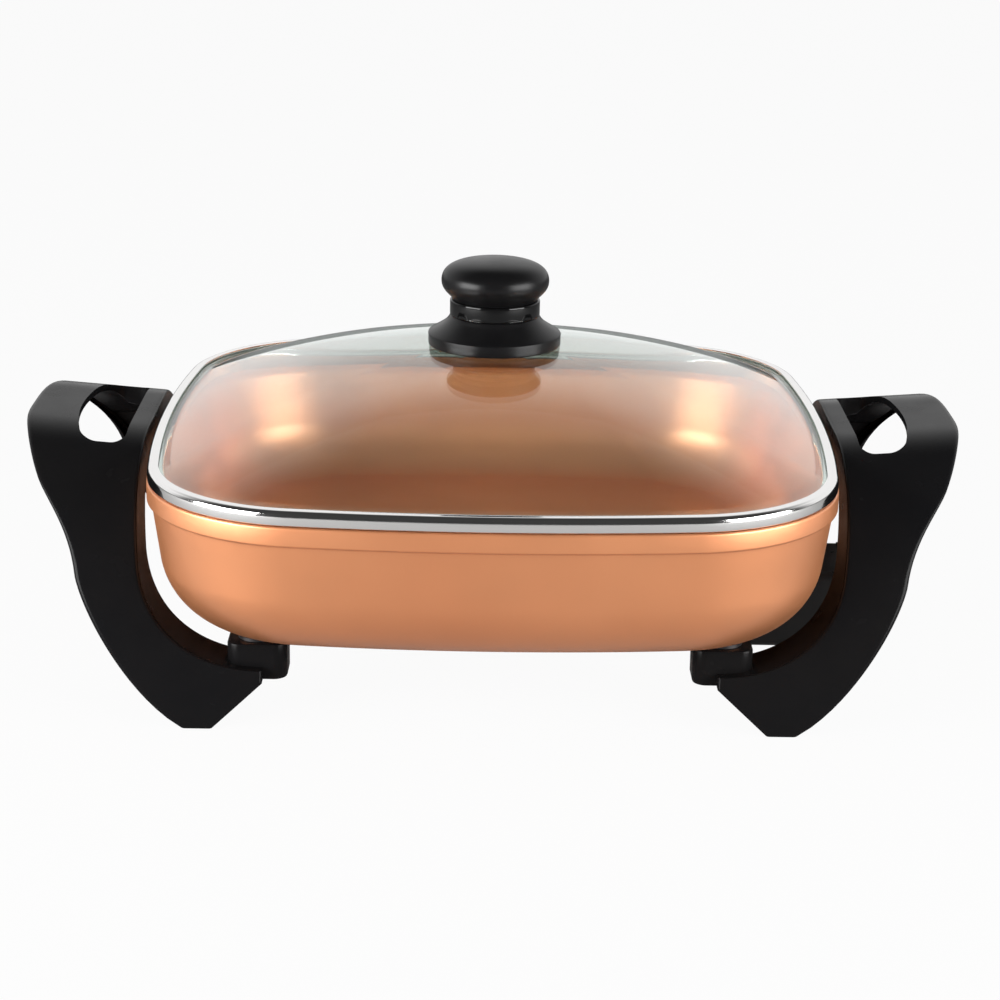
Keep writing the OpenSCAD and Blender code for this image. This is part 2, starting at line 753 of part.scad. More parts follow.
module knob_screw() {
    color([0.70, 0.70, 0.71]) difference() {
        union() {
            translate([0, 0, knob_head_z - 2.6]) cylinder(r1 = 3.6, r2 = 4.8, h = 2.6);
            translate([0, 0, knob_head_z - 1]) cylinder(r = knob_screw_r, h = cap_z + 9 - knob_head_z + 1);
        }
        for (a = [0, 90]) rotate(a) translate([-2.4, -0.5, knob_head_z - 3.6]) cube([4.8, 1, 2.2]);
    }
}

module knob_washer() {
    color([0.78, 0.78, 0.79]) translate([0, 0, knob_head_z]) difference() {
        cylinder(r = washer_r, h = washer_t);
        translate([0, 0, -1]) cylinder(r = knob_screw_r + slip, h = washer_t + 2);
    }
}

pan();
heating_element();
terminal_pin(-leg_y);  // front_terminal_pin
terminal_pin(leg_y);  // rear_terminal_pin
insulator(-leg_y);  // front_insulator
insulator(leg_y);  // rear_insulator
probe_sleeve();
terminal_guard();
guard_screws();
left_handle();
right_handle();
heat_spacers(-1);  // left_heat_spacers
heat_spacers(1);  // right_heat_spacers
handle_screws(-1);  // left_handle_screws
handle_screws(1);  // right_handle_screws
lid_glass();
lid_band();
lid_gasket();
glass_bush();
knob_base();
knob_collar();
knob_cap();
knob_insert();
knob_screw();
knob_washer();
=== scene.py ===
# %% [markdown]
# # An electric skillet
#
# A square cast pan with a copper-coloured ceramic coat hangs between two black moulded arches.
# A domed glass lid with a bright steel band rests on its rim. The measured solids are loaded
# first, as a fixed frame. Then each visible piece is drawn again as a smooth surface from the
# same sizes, and every piece gets its finish. Sizes of pieces are written in millimetres and
# turned into metres once, when a mesh is made. The camera, the lamps and the floor, which are
# no pieces, are placed in metres.

import bmesh
import bpy
import numpy as np
from mathutils import Matrix, Vector


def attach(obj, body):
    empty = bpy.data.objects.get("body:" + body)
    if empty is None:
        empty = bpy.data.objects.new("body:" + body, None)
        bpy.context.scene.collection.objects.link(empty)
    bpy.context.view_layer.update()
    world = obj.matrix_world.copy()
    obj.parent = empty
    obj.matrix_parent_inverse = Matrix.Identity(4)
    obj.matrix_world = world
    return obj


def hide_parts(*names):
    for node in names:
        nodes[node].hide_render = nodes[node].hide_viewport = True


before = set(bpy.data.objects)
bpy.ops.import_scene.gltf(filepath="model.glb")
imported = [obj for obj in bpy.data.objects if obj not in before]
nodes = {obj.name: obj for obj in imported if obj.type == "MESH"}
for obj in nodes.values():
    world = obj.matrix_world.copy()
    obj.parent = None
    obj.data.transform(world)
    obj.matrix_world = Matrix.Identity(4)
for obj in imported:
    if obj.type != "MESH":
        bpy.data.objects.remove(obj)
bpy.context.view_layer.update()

# %% [markdown]
# ## The camera
#
# The camera stands a little over a metre in front of the pan and looks down at it by about
# sixteen degrees. It is turned by a quarter of a degree and rolled by one degree, as a hand-held
# one would be. A constraint could aim it at the pan, but here its place is worked out from
# those angles, so the view is a few plain numbers that can be checked and changed.

# %% Place the camera
def put(name, data):
    """A new object in the scene that shows a mesh, a lamp or a camera."""
    thing = bpy.data.objects.new(name, data)
    bpy.context.scene.collection.objects.link(thing)
    return thing


def camera_axes(down, turn, roll):
    """Right, up and back directions of a camera. Back points from the pan to the camera."""
    e, p, r = np.radians([down, turn, roll])
    back = np.array([np.sin(p) * np.cos(e), -np.cos(p) * np.cos(e), np.sin(e)])
    level = np.array([np.cos(p), np.sin(p), 0.0])
    high = np.cross(level, -back)
    right = np.cos(r) * level + np.sin(r) * high
    return right, np.cross(back, right), back


distance, rim_height = 1.163, 0.1043
right, up, back = camera_axes(down=15.91, turn=-0.24, roll=0.94)
place = back * distance + np.array([0.0, 0.0, rim_height])
lens = bpy.data.cameras.new("camera")
lens.sensor_width, lens.lens = 36.0, 88.47
lens.shift_x, lens.shift_y = 0.0071, -0.0704
lens.clip_start, lens.clip_end = 0.05, 50.0
camera = put("camera", lens)
rows = zip(np.column_stack([right, up, back]), place)
camera.matrix_world = Matrix([[*map(float, row), float(p)] for row, p in rows] + [[0, 0, 0, 1]])
bpy.context.scene.camera = camera
print("camera at", place.round(3))

# %% [markdown]
# ## Tools for drawing surfaces
#
# Nearly every piece here is a grid: rows of points, each row a closed or open line. So a few
# helpers do most of the work. Some join the points of a grid with four-sided faces and close
# its ends, one turns arrays into a Blender object, and one rounds the corners of a profile,
# because nothing that is cast, rolled or moulded has a perfectly sharp edge.

# %% Faces of a grid
def quads(rows, cols, wrap_rows=False, wrap_cols=False):
    """Corner numbers of the faces between neighbouring points of a rows-by-cols grid."""
    i = np.arange(rows if wrap_rows else rows - 1)[:, None]
    j = np.arange(cols if wrap_cols else cols - 1)[None, :]
    steps = ((0, 0), (0, 1), (1, 1), (1, 0))
    k = [((i + a) % rows) * cols + (j + b) % cols for a, b in steps]
    return np.stack([np.broadcast_to(x, (len(i), j.shape[1])) for x in k], -1).reshape(-1, 4)


def fan(ring, pole, flip=False):
    """Triangles from each step of a closed ring of corner numbers to one pole."""
    nxt = np.roll(ring, -1)
    a, b = (nxt, ring) if flip else (ring, nxt)
    return np.column_stack([a, b, np.full(len(ring), pole)])


def wrapped(grid):
    """A grid that closes on itself both ways, as a shape: points and a list of faces."""
    return grid, [quads(*grid.shape[:2], True, True)]


def capped(grid, ends):
    """Closed rings side by side, with the first and the last closed to one end point each."""
    rows, cols = grid.shape[:2]
    ring, pole = np.arange(cols), rows * cols
    first, last = fan(ring, pole, True), fan(ring + (rows - 1) * cols, pole + 1)
    return np.vstack([grid.reshape(-1, 3), ends]), [quads(rows, cols, False, True), first, last]


def joined(*parts):
    """Several (points, [faces, ...]) shapes as one, with their corner numbers moved up in turn."""
    points, faces, base = [], [], 0
    for p, f in parts:
        points.append(p.reshape(-1, 3))
        faces += [x + base for x in f]
        base += points[-1].shape[0]
    return np.vstack(points), faces


print("a 3 by 4 grid has", len(quads(3, 4)), "faces, and", len(quads(3, 4, True, True)), "wrapped")

# %% Points of a grid
def with_height(xy, z):
    """Points (x, y) of a grid with their height z, which is spread over the grid."""
    return np.concatenate([xy, np.broadcast_to(z, (*xy.shape[:2], 1))], -1)


def stacked(lines, heights):
    """Closed lines of (x, y), each put at its height, as a grid."""
    pairs = zip(lines, heights)
    return np.array([np.column_stack([line, np.broadcast_to(z, len(line))]) for line, z in pairs])


def rounded(corners, radii, steps=4, closed=False):
    """A line through corners, each cut back by its radius and bridged by a small parabola."""
    c, n = np.asarray(corners, float), len(corners)
    out = []
    for i, r in enumerate(np.broadcast_to(radii, n)):
        if r <= 0 or (not closed and i in (0, n - 1)):
            out.append(c[i][None])
            continue
        a, b = c[i - 1] - c[i], c[(i + 1) % n] - c[i]
        la, lb = np.linalg.norm(a), np.linalg.norm(b)
        p, q = c[i] + a / la * min(r, 0.49 * la), c[i] + b / lb * min(r, 0.49 * lb)
        t = np.linspace(0, 1, steps + 1)[:, None]
        out.append((1 - t) ** 2 * p + 2 * t * (1 - t) * c[i] + t**2 * q)
    return np.vstack(out)


def bezier(p, n):
    """n + 1 points of the cubic curve with ends p[0], p[3] and handles p[1], p[2]."""
    t, p = np.linspace(0, 1, n + 1)[:, None], np.asarray(p, float)
    s = 1 - t
    return s**3 * p[0] + 3 * t * s**2 * p[1] + 3 * t**2 * s * p[2] + t**3 * p[3]


def revolve(profile, n=96):
    """A closed line of (radius, height) turned once about the z axis."""
    a = np.linspace(0, 2 * np.pi, n, endpoint=False)
    r, z = np.asarray(profile, float).T
    return wrapped(np.stack([r[:, None] * np.cos(a), r[:, None] * np.sin(a), z[:, None] + 0 * a], -1))


print("a rounded corner of 5 steps:", len(rounded([[0, 0], [1, 0], [1, 1]], 0.2, 5)), "points")

# %% From arrays to a piece
def make_mesh(name, points, faces, sharp=32.0):
    """A mesh from points in millimetres. Edges bent by more than sharp degrees stay crisp."""
    mesh = bpy.data.meshes.new(name)
    metres = (points.reshape(-1, 3) * 0.001).tolist()
    mesh.from_pydata(metres, [], [f for a in faces for f in a.tolist()])
    mesh.polygons.foreach_set("use_smooth", np.ones(len(mesh.polygons), bool))
    mesh.set_sharp_from_angle(angle=np.radians(sharp))
    return mesh


def piece(mesh, body, slot, material, *stands_for):
    """Puts a mesh into the scene as a piece that rides on a body and stands for some solids."""
    thing = put(mesh.name, mesh)
    mesh.materials.clear()
    mesh.materials.append(material)
    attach(thing, body)
    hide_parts(*stands_for)
    print(mesh.name, len(mesh.polygons), "faces")


# %% [markdown]
# ## How the finishes are built
#
# Three effects come back on several materials, so each is a shader node group with its own
# inputs: the grain of a moulded or cast skin, the fine lines that wiping leaves on bright
# metal, and a soft cloudiness that varies colour and gloss. Image textures could do this, but
# every piece would have to be unwrapped first, and they blur when seen close. Noise that
# reads a piece's own coordinates needs no unwrapping and stays sharp. The groups put out only
# values. The shaders themselves stay in each material.

# %% Node helpers
def add(tree, kind, links=None, **settings):
    """Adds a node. Keys of links are input names or numbers; values are sockets or constants."""
    made = tree.nodes.new(kind)
    for k, v in settings.items():
        setattr(made, k, v)
    for k, v in (links or {}).items():
        if isinstance(v, bpy.types.NodeSocket):
            tree.links.new(v, made.inputs[k])
        else:
            made.inputs[k].default_value = v
    return made


def tune(node, **values):
    """Sets a node's own inputs. An underscore in a name stands for a space."""
    for k, v in values.items():
        node.inputs[k.replace("_", " ")].default_value = v
    return node


def calc(tree, operation, *values):
    """The output of a maths node on sockets or numbers."""
    return add(tree, "ShaderNodeMath", dict(enumerate(values)), operation=operation).outputs[0]


def noise(tree, vector, scale, detail=3.0, roughness=0.55):
    """A noise texture's value output on some coordinates."""
    links = {"Vector": vector, "Scale": scale, "Detail": detail, "Roughness": roughness}
    return add(tree, "ShaderNodeTexNoise", links).outputs[0]


def new_group(name, inputs, output):
    """A node group with float inputs, given as name to default, and one float output.

    Returns its tree, its input sockets, its Object coordinates, and the socket to end in."""
    tree = bpy.data.node_groups.new(name, "ShaderNodeTree")
    sockets = tree.interface
    for k, v in inputs.items():
        sockets.new_socket(k, in_out="INPUT", socket_type="NodeSocketFloat").default_value = v
    sockets.new_socket(output, in_out="OUTPUT", socket_type="NodeSocketFloat")
    given, taken = tree.nodes.new("NodeGroupInput"), tree.nodes.new("NodeGroupOutput")
    return tree, given.outputs, add(tree, "ShaderNodeTexCoord").outputs["Object"], taken.inputs[0]


print("node helpers ready")

# %% Grain of a moulded or cast skin
grain, given, where, height = new_group("moulded_grain", {"Scale": 900.0, "Depth": 1.0}, "Height")
fine = noise(grain, where, given["Scale"], 4.0)
wide = noise(grain, where, 60.0, 2.0)
relief = calc(grain, "MULTIPLY_ADD", fine, 0.35, wide)
grain.links.new(calc(grain, "MULTIPLY", relief, given["Depth"]), height)
print("shared effect:", grain.name)

# %% Fine lines left by wiping
line_inputs = {"Length": 18.0, "Fineness": 900.0, "Amount": 0.08}
wiped, given, where, loss = new_group("wipe_lines", line_inputs, "Gloss loss")
across = given["Fineness"]
stretch = add(wiped, "ShaderNodeCombineXYZ", {0: given["Length"], 1: across, 2: across}).outputs[0]
drawn = add(wiped, "ShaderNodeVectorMath", {0: where, 1: stretch}, operation="MULTIPLY").outputs[0]
lines = noise(wiped, drawn, 1.0, 5.0, 0.7)
wiped.links.new(calc(wiped, "MULTIPLY", lines, given["Amount"]), loss)
print("shared effect:", wiped.name)

# %% Soft cloudiness
cloud, given, where, value = new_group("clouding", {"Scale": 14.0, "Low": 0.0, "High": 1.0}, "Value")
soft = noise(cloud, where, given["Scale"], 3.0, 0.5)
spread = {0: soft, 1: 0.3, 2: 0.7, 3: given["Low"], 4: given["High"]}
cloud.links.new(add(cloud, "ShaderNodeMapRange", spread).outputs[0], value)
print("shared effect:", cloud.name)

# %% A material from those effects
def new_material(name):
    """A fresh material, its node tree and its Principled shader."""
    made = bpy.data.materials.new(name)
    made.use_nodes = True
    return made, made.node_tree, made.node_tree.nodes["Principled BSDF"]


def effect(tree, group, **values):
    """Places a shared effect in a material with its own values and returns its output."""
    return tune(add(tree, "ShaderNodeGroup", node_tree=group), **values).outputs[0]


def finish_of(
    name, tones, metallic, rough, grain_scale=900.0, bump=0.0, lines=0.0, patches=14.0, **plain,
):
    """A Principled material whose colour drifts between two tones and whose gloss varies a little.

    rough is (lowest, highest) roughness, bump the relief in millimetres, lines the share of gloss
    that fine wipe lines take away, and patches the scale of the drift, 4.7 times finer for gloss.
    plain names more inputs of the shader, set on its own sockets."""
    made, tree, shader = new_material(name)
    tune(shader, Metallic=metallic, **plain)
    tone = add(tree, "ShaderNodeMix", {0: effect(tree, cloud, Scale=patches)}, data_type="RGBA")
    tone.inputs[6].default_value, tone.inputs[7].default_value = (*tones[0], 1), (*tones[1], 1)
    tree.links.new(tone.outputs[2], shader.inputs["Base Color"])
    gloss = effect(tree, cloud, Scale=patches * 4.7, Low=rough[0], High=rough[1])
    worn = effect(tree, wiped, Amount=lines)
    tree.links.new(calc(tree, "ADD", gloss, worn), shader.inputs["Roughness"])
    if bump:
        skin = effect(tree, grain, Scale=grain_scale)
        relief = {"Strength": 0.5, "Distance": bump * 0.001, "Height": skin}
        tree.links.new(add(tree, "ShaderNodeBump", relief).outputs[0], shader.inputs["Normal"])
    return made


print("finishes are mixed from", ", ".join(group.name for group in (cloud, wiped, grain)))

# %% [markdown]
# ## The finishes
#
# The pan's coat is a metallic ceramic paint: tiny copper flakes under a clear hard layer, so it
# is mostly metallic, satin, and drifts a little in tone. The handles and the knob are phenolic,
# which is nearly black and never quite even. The band and the small hardware are plain metals
# with faint wipe lines. One flat colour each would be quicker, but a skin without any drift in
# tone and gloss looks drawn rather than made.

# %% Coat of the pan
copper = finish_of(
    "copper_ceramic_coat", [(0.61, 0.238, 0.105), (0.69, 0.285, 0.13)], 0.8, (0.40, 0.46),
    grain_scale=1600.0, bump=0.02, patches=9.0, Coat_Weight=0.45, Coat_Roughness=0.26,
)
print("finish:", copper.name)

# %% Black mouldings
phenolic = finish_of(
    "black_phenolic", [(0.0046, 0.0046, 0.0052), (0.0066, 0.0062, 0.0062)], 0.0, (0.20, 0.28),
    grain_scale=500.0, bump=0.012, Specular_IOR_Level=0.055,
)
knob_skin = finish_of(
    "black_knob_phenolic", [(0.0032, 0.0032, 0.0037), (0.0052, 0.0050, 0.0052)], 0.0, (0.28, 0.36),
    bump=0.012, Specular_IOR_Level=0.18,
)
polished = finish_of(
    "polished_black", [(0.002, 0.002, 0.0024), (0.003, 0.003, 0.003)], 0.0, (0.05, 0.08),
    Specular_IOR_Level=0.25,
)
guard_skin = finish_of(
    "black_guard_phenolic", [(0.004, 0.004, 0.004), (0.007, 0.0065, 0.0065)], 0.0, (0.26, 0.36),
    grain_scale=800.0, bump=0.02, Specular_IOR_Level=0.2,
)
print("black mouldings:", phenolic.name, knob_skin.name, polished.name, guard_skin.name)

# %% Metals
def metal(name, dark, light, rough, lines=0.0, share=1.0, **more):
    """A metal between a darker and a lighter tone, with wipe lines."""
    return finish_of(name, [dark, light], share, rough, lines=lines, **more)


bright = metal("mirror_steel", (0.80, 0.79, 0.78), (0.84, 0.83, 0.82), (0.05, 0.08), 0.05)
zinc = metal("zinc_plated", (0.42, 0.42, 0.43), (0.55, 0.55, 0.54), (0.25, 0.38), 0.15)
plain_steel = metal("rolled_steel", (0.52, 0.52, 0.53), (0.60, 0.60, 0.60), (0.22, 0.34), 0.2)
sheath = metal(
    "heat_dulled_sheath", (0.16, 0.145, 0.13), (0.24, 0.21, 0.18), (0.42, 0.6), share=0.9, bump=0.05,
)
nickel = metal("nickel_plate", (0.60, 0.57, 0.52), (0.66, 0.63, 0.58), (0.16, 0.26), 0.1)
brass = metal("turned_brass", (0.60, 0.40, 0.13), (0.70, 0.49, 0.18), (0.2, 0.32), 0.15)
blued = metal("blued_steel", (0.035, 0.034, 0.036), (0.06, 0.055, 0.055), (0.35, 0.5), 0.1, 0.9)
print("metals:", ", ".join(m.name for m in (bright, zinc, plain_steel, sheath, nickel, brass, blued)))

# %% Ceramic and silicone
ceramic = finish_of(
    "fired_ceramic", [(0.80, 0.78, 0.72), (0.86, 0.84, 0.79)], 0.0, (0.35, 0.5),
    grain_scale=1500.0, bump=0.02,
)
silicone = finish_of(
    "grey_silicone", [(0.30, 0.30, 0.29), (0.36, 0.36, 0.35)], 0.0, (0.55, 0.7),
    grain_scale=800.0, bump=0.03,
)
black_silicone = finish_of("black_silicone", [(0.02, 0.02, 0.02), (0.03, 0.03, 0.03)], 0.0, (0.5, 0.65))
print("opaque finishes:", len(bpy.data.materials))

# %% [markdown]
# Glass is its own case. The shader bends light as glass does, and light that travels on to the
# pan is let straight through with a faint green cast, because following it through the curved
# sheet would need far more samples and would leave the pan in the dark.

# %% Glass
def either_ray(path, one, other):
    """1 for rays of either of two kinds, from a Light Path node."""
    return calc(path.id_data, "MAXIMUM", path.outputs[one + " Ray"], path.outputs[other + " Ray"])


glass, tree, clear = new_material("tempered_glass")
tune(clear, Base_Color=(0.825, 0.895, 0.86, 1), Metallic=0.0, IOR=1.5, Transmission_Weight=1.0)
tree.links.new(effect(tree, cloud, Scale=30.0, Low=0.0, High=0.012), clear.inputs["Roughness"])
through = add(tree, "ShaderNodeBsdfTransparent", {"Color": (0.93, 0.97, 0.95, 1)}).outputs[0]
passed = either_ray(add(tree, "ShaderNodeLightPath"), "Is Shadow", "Is Diffuse")
mixed = add(tree, "ShaderNodeMixShader", {0: passed, 1: clear.outputs[0], 2: through})
tree.links.new(mixed.outputs[0], tree.nodes["Material Output"].inputs["Surface"])
print("finish:", glass.name)

# %% [markdown]
# ## The rounded square
#
# Pan, band and glass share one outline: four corner arcs, joined by four long arcs that bow the
# sides out a little. A superellipse would come close, but scaling it inwards leaves a wall
# that is thicker at the corners than at the sides. Every point of this line is an arc's centre
# plus a radius times a direction, and moving it in or out only changes the radius. So a wall is
# a profile of (u, z) points, u being the distance from a corner's centre, carried once round.

# %% Outline of the pan
half, corner_r, side_r = 157.0, 75.0, 800.0
far = side_r - half
arc_step = side_r - corner_r
corner_c = (np.sqrt(2 * arc_step**2 - far**2) - far) / 2
lean = np.arctan2(corner_c, corner_c + far)


def outline(per_side=14, per_corner=26):
    """Centre, base radius and direction of each step round the rounded square, side by side."""
    side = np.linspace(-lean, lean, per_side, endpoint=False)
    turn = np.linspace(lean, np.pi / 2 - lean, per_corner, endpoint=False)
    angle = np.concatenate([side, turn])
    base = np.repeat([arc_step, 0.0], [per_side, per_corner])
    centre = np.repeat([[-far, 0.0], [corner_c, corner_c]], [per_side, per_corner], axis=0)
    all_c, all_d = [], []
    for quarter in np.arange(4) * np.pi / 2:
        c, s = np.cos(quarter), np.sin(quarter)
        all_c.append(centre @ np.array([[c, s], [-s, c]]))
        all_d.append(np.column_stack([np.cos(angle + quarter), np.sin(angle + quarter)]))
    return np.vstack(all_c), np.tile(base, 4), np.vstack(all_d)


def carried(profile):
    """Profile points (u, z) carried round the outline: centre + (base + u) * direction, at z."""
    c, base, d = outline()
    u, z = np.asarray(profile, float).T
    return with_height(c[None] + (base + u[:, None])[..., None] * d[None], z[:, None, None])


print("outline:", len(outline()[1]), "steps, corner centres at", round(corner_c, 2))

# %% [markdown]
# ## The pan
#
# The pan is one aluminium casting with a flat bottom, deep round fillets and a stepped rim. It
# could be a box with bevels, but then each bevel would have to be matched at the corners by
# hand. Here one line draws the whole bowl in section: out along the bottom, up the fillet and
# the slightly flared wall, over the flange, down the inside and back to the middle of the
# floor. The two middles are closed by shrinking the last ring to a point.

# %% Section of the pan
rim_z, bottom_z, floor_z = 104.0, 39.5, 44.5
fillet_r, wall_t, draft = 35.0, 3.5, np.radians(8)
flange_h, flange_step = 9, 2
inner_r = fillet_r - wall_t
fillet_z = bottom_z + fillet_r
run = (rim_z - flange_h - fillet_z + fillet_r * np.sin(draft)) / np.cos(draft)
fillet_u = corner_r - flange_step - run * np.sin(draft) - fillet_r * np.cos(draft)


def arc(radius, low, high, n):
    """Points of the fillet's arc: low and high are angles below the horizontal."""
    a = np.linspace(low, high, n)
    return np.column_stack([fillet_u + radius * np.cos(a), fillet_z - radius * np.sin(a)])


flange = rounded(
    [[72.7, 92.9], [73, 95], [75, 95.6], [75, 104], [68.5, 104], [68.5, 101], [69.5, 95], [69.1, 92]],
    [0, 0.7, 0.7, 1.1, 0.9, 1.5, 1.5, 0],
)
inside = arc(inner_r, draft, np.arcsin((fillet_z - floor_z) / inner_r), 26)
outside = arc(fillet_r, np.pi / 2, draft, 28)
section = np.vstack([[[0, bottom_z]], outside, flange, inside, [[0, floor_z]]])
print("section of the pan:", len(section), "points")

# %% Bowl
def bowl(section):
    """The carried section, its first and last ring shrunk in steps to a point in the middle."""
    wall = carried(section)
    shrink = np.array([0.15, 0.4, 0.7])[:, None, None]
    level = np.ones((3, 1, 1))
    first = wall[:1] * np.concatenate([np.repeat(shrink, 2, -1), level], -1)
    last = wall[-1:] * np.concatenate([np.repeat(shrink[::-1], 2, -1), level], -1)
    poles = np.array([[0, 0, section[0][1]], [0, 0, section[-1][1]]], float)
    return capped(np.concatenate([first, wall, last]), poles)


vessel = bowl(section)
print("bowl:", len(vessel[0]), "points")

# %% [markdown]
# Under the bottom the casting has a ridge that grips the heating tube, a boss for the probe
# well, a block that the guard is screwed to, and four round lugs for the handles. Growing them
# out of the bowl's own faces would break up its even grid. So they are plain closed shapes
# that reach a little into the bottom: a strip carried along the loop, blocks with broken
# edges, and turned lugs.

# %% Path of the heating loop
loop_z, leg_y, leg_end_x = 32.5, 12.0, 110.0
loop_half, loop_bend, leg_bend = 70.0, 22.0, 12.0


def bend(cx, cy, r, a0, a1, n=12):
    """Points and left-hand normals of an arc about (cx, cy) from a0 to a1 degrees."""
    a = np.radians(np.linspace(a0, a1, n))
    side = np.sign(a1 - a0)
    c, s = np.cos(a), np.sin(a)
    return np.column_stack([cx + r * c, cy + r * s, -side * c, -side * s])


def loop_path(x_end):
    """Points and normals of the loop: in along one leg, round the square, out along the other."""
    s, x0, y0 = loop_half - loop_bend, loop_half + leg_bend, leg_y + leg_bend
    return np.vstack([
        [[x_end, leg_y, 0.0, -1.0]], bend(x0, y0, leg_bend, 270, 180),
        bend(s, s, loop_bend, 0, 90), bend(-s, s, loop_bend, 90, 180),
        bend(-s, -s, loop_bend, 180, 270), bend(s, -s, loop_bend, 270, 360),
        bend(x0, -y0, leg_bend, 180, 90), [[x_end, -leg_y, 0.0, 1.0]],
    ])


print("loop:", len(loop_path(leg_end_x)), "stations")

# %% Strips, blocks and turned lugs
def along(path, profile):
    """A closed profile of (side, z) carried along the path, with both ends closed."""
    p, n = path[:, None, :2], path[:, None, 2:]
    side, z = np.asarray(profile, float).T
    grid = with_height(p + n * side[None, :, None], z[None, :, None])
    return capped(grid, grid[[0, -1]].mean(1))


def block(low, high, edge=1.0):
    """A box with broken edges: rings of a rounded rectangle, stepped in at the top and bottom."""
    low, high = np.asarray(low, float), np.asarray(high, float)
    c, h = (low + high) / 2, (high - low) / 2
    rise = np.array([-h[2], -h[2] + 0.3 * edge, -h[2] + edge, h[2] - edge, h[2] - 0.3 * edge, h[2]])
    lines = []
    for inset in (1.0, 0.3, 0.0, 0.0, 0.3, 1.0):
        w = h[:2] - inset * edge
        square = [[w[0], -w[1]], [w[0], w[1]], [-w[0], w[1]], [-w[0], -w[1]]]
        lines.append(rounded(square, edge, 4, True) + c[:2])
    return capped(stacked(lines, c[2] + rise), np.array([[c[0], c[1], low[2]], [c[0], c[1], high[2]]]))


def moved(shape, x=0.0, y=0.0, z=0.0, lay=False):
    """A shape shifted, and first laid over so that its z axis points along +X if lay is set."""
    p = shape[0].reshape(-1, 3)
    p = np.column_stack([p[:, 2], p[:, 0], p[:, 1]]) if lay else p
    return p + [x, y, z], shape[1]


print("block:", len(block([0, 0, 0], [9, 9, 9])[0]), "points")

# %% Castings under the pan, and the whole pan
groove_r, ridge_top, lug_x, lug_y = 3.33, 41, 102.75, 95.0
a = np.radians(np.linspace(180, 0, 13))
groove = np.column_stack([groove_r * np.cos(a), loop_z + groove_r * np.sin(a)])
left_lip = [[-6.0, loop_z], [-3.6, loop_z]]
right_lip = [[3.6, loop_z], [6.0, loop_z], [6.5, loop_z + 0.6]]
ridge = np.vstack([
    left_lip, groove, right_lip, [[6.5, ridge_top], [-6.5, ridge_top], [-6.5, loop_z + 0.6]],
])
lug_line = [[0.01, 38], [2.2, 38], [2.2, 36.5], [9, 36.5], [9, 43], [0.01, 43]]
lug = revolve(rounded(lug_line, [0, 0, 0.2, 0.6, 0.2, 0], 3), 48)
well_line = [[0.01, 19], [7.5, 19], [7.5, 112], [4.3, 112], [4.3, 107], [0.01, 107]]
well = revolve(rounded(well_line, [0, 2, 0.3, 0.2, 0, 0], 4), 40)
guard_block, well_rib = block([96, -25, 27], [112, 25, 42.5]), block([19, -4, 33], [109, 4, 41])
lugs = [moved(lug, sx * lug_x, sy * lug_y) for sx in (-1, 1) for sy in (-1, 1)]
cast_ridge, laid_well = along(loop_path(leg_end_x), ridge), moved(well, z=loop_z, lay=True)
pan_shape = joined(vessel, cast_ridge, guard_block, laid_well, well_rib, *lugs)
piece(make_mesh("copper_pan", *pan_shape), "base", "copper_coat", copper, "pan")

# %% [markdown]
# ## The lid
#
# The band is a strip rolled into a channel, open inwards, with a thin edge that hangs down just
# inside the mouth of the pan and keeps the lid in place. The glass is a sheet of even thickness,
# sagged over a mould. A flattened sphere would meet the square band in the wrong places. So
# near the crown the sheet's rings are nearly round, and they turn into the rounded square
# towards the edge. Its height falls from the crown with the square of the distance.

# %% Steel band
band_z, band_h, band_u, steel_t = 104.3, 6.5, corner_r - 0.4, 0.6
lip, hang_u, hang = 5.0, 67.8, -5.5
hull = rounded(
    [[hang_u, hang], [hang_u, 0], [band_u, 0], [band_u, band_h], [band_u - lip, band_h]],
    [0, 0.4, 1.0, 3.0, 0], 6,
)
hang_in, in_u, in_h = hang_u - steel_t, band_u - steel_t, band_h - steel_t
liner = rounded(
    [[hang_in, hang], [hang_in, steel_t], [in_u, steel_t], [in_u, in_h], [band_u - lip, in_h]],
    [0, 0.8, 0.6, 2.4, 0], 6,
)
strip = np.vstack([hull, liner[::-1]]) + [0, band_z]
band_mesh = make_mesh("steel_band", *wrapped(carried(strip)), 50.0)
piece(band_mesh, "lid", "bright_steel", bright, "lid_band")

# %% Glass dome
gasket_t, slack, hole_r, fuller = 0.6, 0.03, 5.5, 1.06
glass_u, glass_edge_z = band_u - steel_t - gasket_t - slack, band_z + steel_t + gasket_t
glass_t, rise, power, foot = 4.0, 38.0, 2.0, 0.965
round_r = (half - corner_r + glass_u) * fuller


def dome(t, lift):
    """Rings of the sheet at distances t of 0 to 1 from the crown, raised by lift.

    In plan a ring is t times a blend of the outline and a circle 1.06 times as wide, all circle
    at the crown. Its height is rise * (1 - (t / foot) ** power), and flat from foot outwards."""
    c, base, d = outline()
    rim = c + (base + glass_u)[:, None] * d
    circle = rim / np.linalg.norm(rim, axis=1, keepdims=True) * round_r
    b = (t**1.5)[:, None, None]
    xy = t[:, None, None] * ((1 - b) * circle + b * rim)
    z = glass_edge_z + lift + rise * (1 - np.minimum(t / foot, 1) ** power)
    return with_height(xy, z[:, None, None])


t = np.concatenate([np.linspace(hole_r / round_r, foot, 44), [0.972, 0.985, 1.0]])
sheet = np.concatenate([dome(t[::-1], 0.0), dome(t, glass_t)])[::-1]
piece(make_mesh("glass_dome", *wrapped(sheet), 60.0), "lid", "glass", glass, "lid_glass")

# %% [markdown]
# ## The knob
#
# Three turned pieces: a flared skirt that stands on the glass, a polished collar, and a
# mushroom cap that overhangs it. A Screw modifier could turn their sections, but turning them
# as arrays closes the seam by itself. The sections are lines with small rounded corners. The
# heights of collar and cap come from the measured knob, so that its screw and insert, which
# stay as they were measured, still fit inside.

